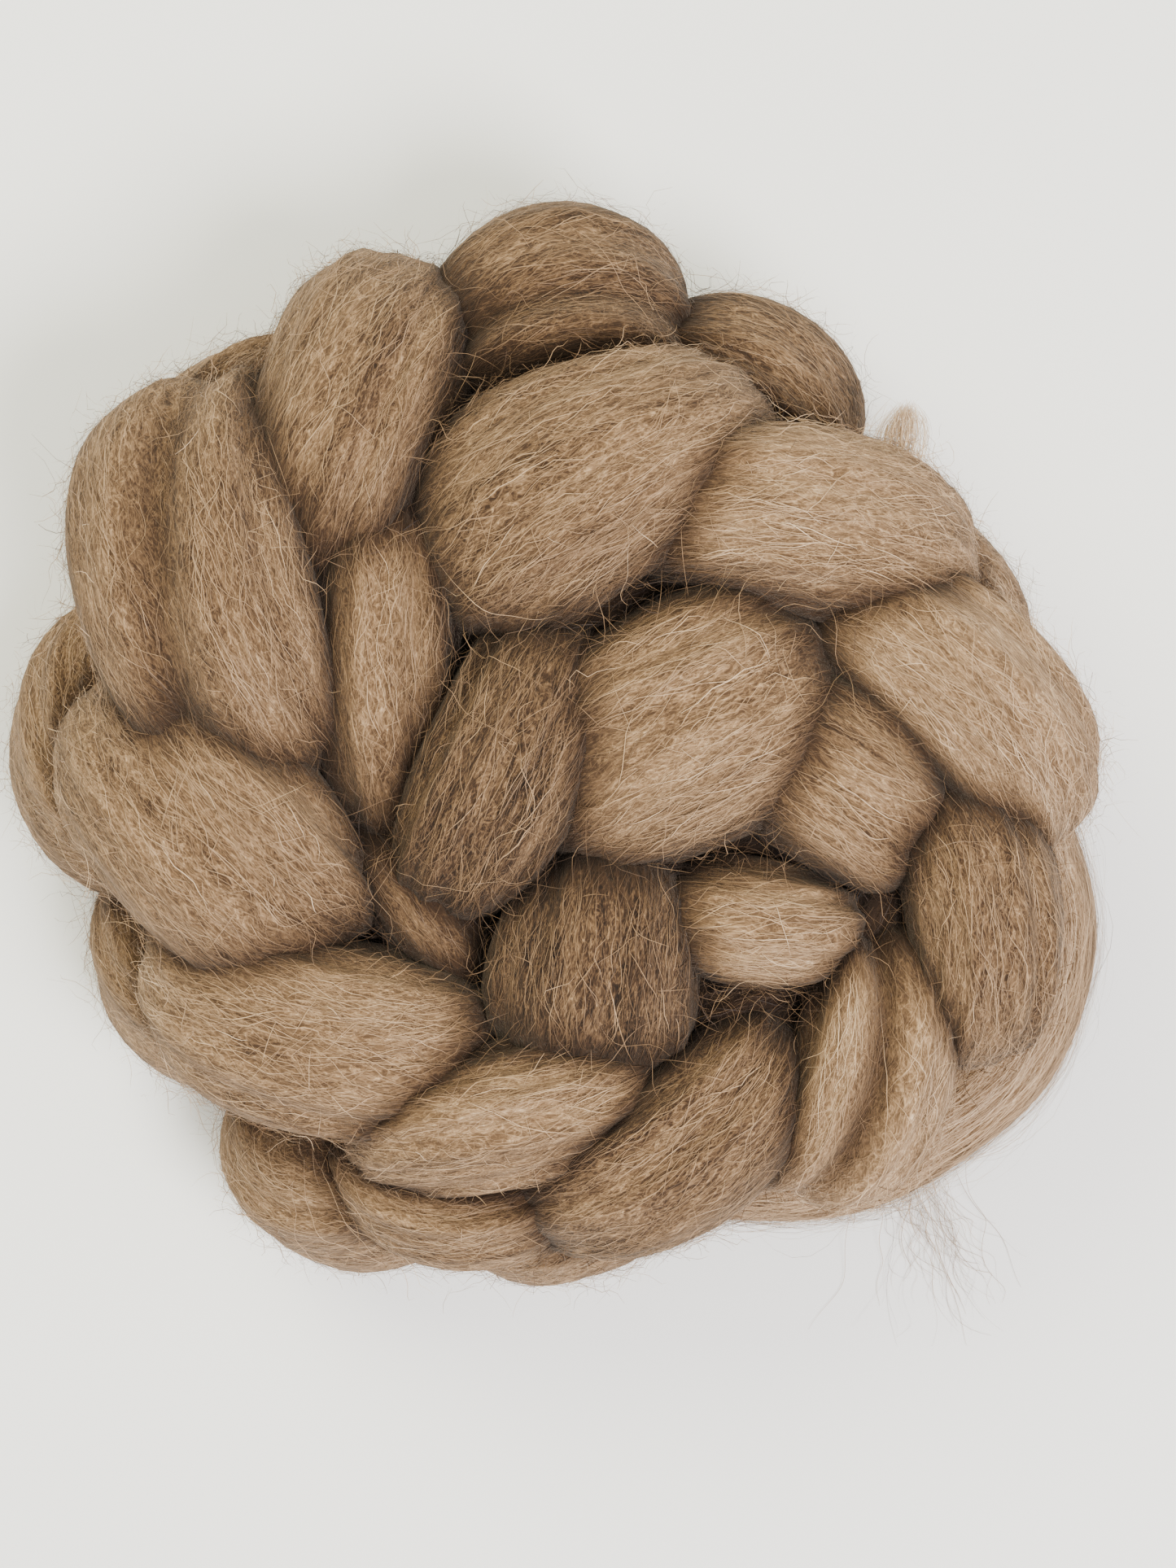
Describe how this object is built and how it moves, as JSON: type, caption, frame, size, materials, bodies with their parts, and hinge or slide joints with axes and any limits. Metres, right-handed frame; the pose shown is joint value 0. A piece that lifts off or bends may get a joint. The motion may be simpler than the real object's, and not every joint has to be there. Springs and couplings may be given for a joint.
{
  "type": "coiled wool top",
  "caption": "Chain-looped length of undyed combed wool fibre coiled into a round bundle of plump lobes, with its soft loose end tucked round the rim.",
  "frame": {"origin": "on the floor under the middle of the coiled bundle, which lies on its back", "axes": "+Z out of the bundle's face, +X to the right of the face, +Y to its top"},
  "size_m": [0.1861, 0.1809, 0.0679],
  "materials": {
    "wool": "matte, combed natural light brown wool",
    "wool_end": "matte, combed natural light brown wool, a little lighter"
  },
  "bodies": {
    "root": {"wool_coil": "wool", "loose_end": "wool_end"}
  },
  "joints": []
}
